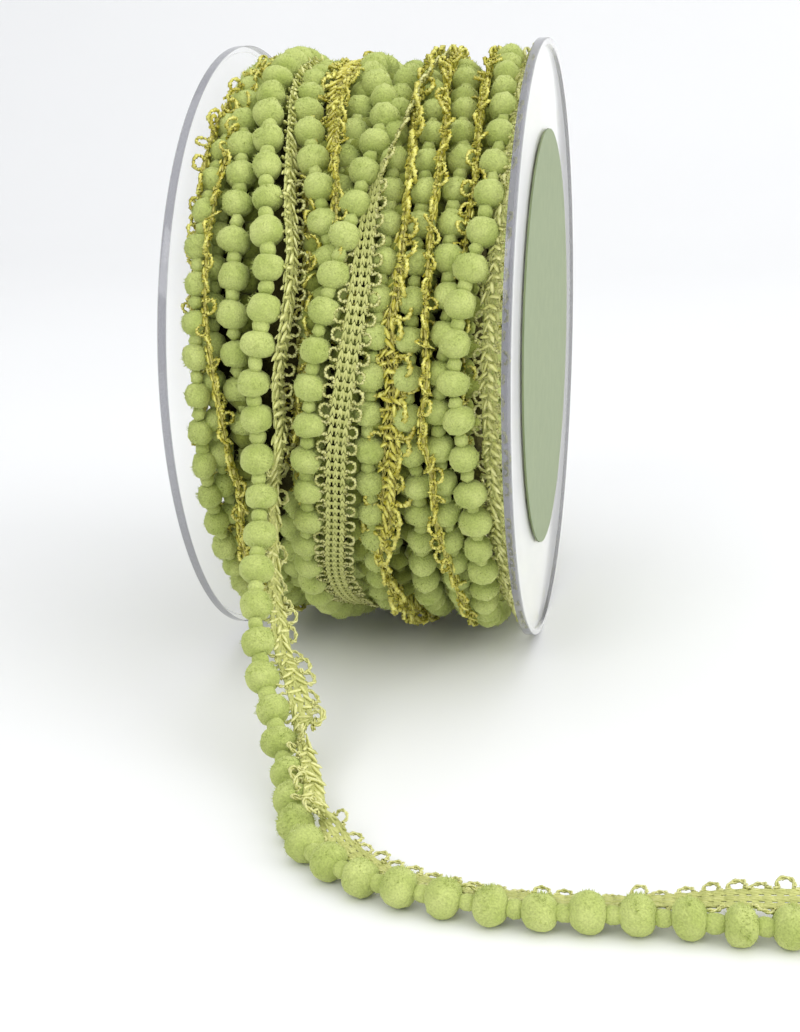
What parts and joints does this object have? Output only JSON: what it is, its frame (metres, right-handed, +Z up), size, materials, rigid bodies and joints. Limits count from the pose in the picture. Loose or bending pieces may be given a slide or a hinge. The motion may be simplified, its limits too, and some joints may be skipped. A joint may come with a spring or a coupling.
{
  "type": "pompom fringe trim on a spool",
  "caption": "Narrow woven trim with a looped edge and a row of small pompoms, wound full on a clear round spool, its loose end lying on the surface.",
  "frame": {"origin": "on the surface that the spool and the loose end stand on, below the middle of the whole part's box", "axes": "+X along the spool's axis towards the flange with the label, -Y towards the side where the loose end comes off, +Z up"},
  "size_m": [0.107, 0.1598, 0.1018],
  "materials": {
    "chenille": "matt fuzzy chenille",
    "braid": "woven tape and twisted loops with a soft sheen",
    "clear_plastic": "clear and polished",
    "label_card": "smooth satin card"
  },
  "bodies": {
    "root": {"wound_trim": "chenille", "loose_pompoms_1": "chenille", "loose_pompoms_2": "chenille", "loose_pompoms_3": "chenille", "loose_pompoms_4": "chenille", "loose_tape": "braid", "flange_left": "clear_plastic", "flange_right": "clear_plastic", "label_disc": "label_card"}
  },
  "joints": []
}
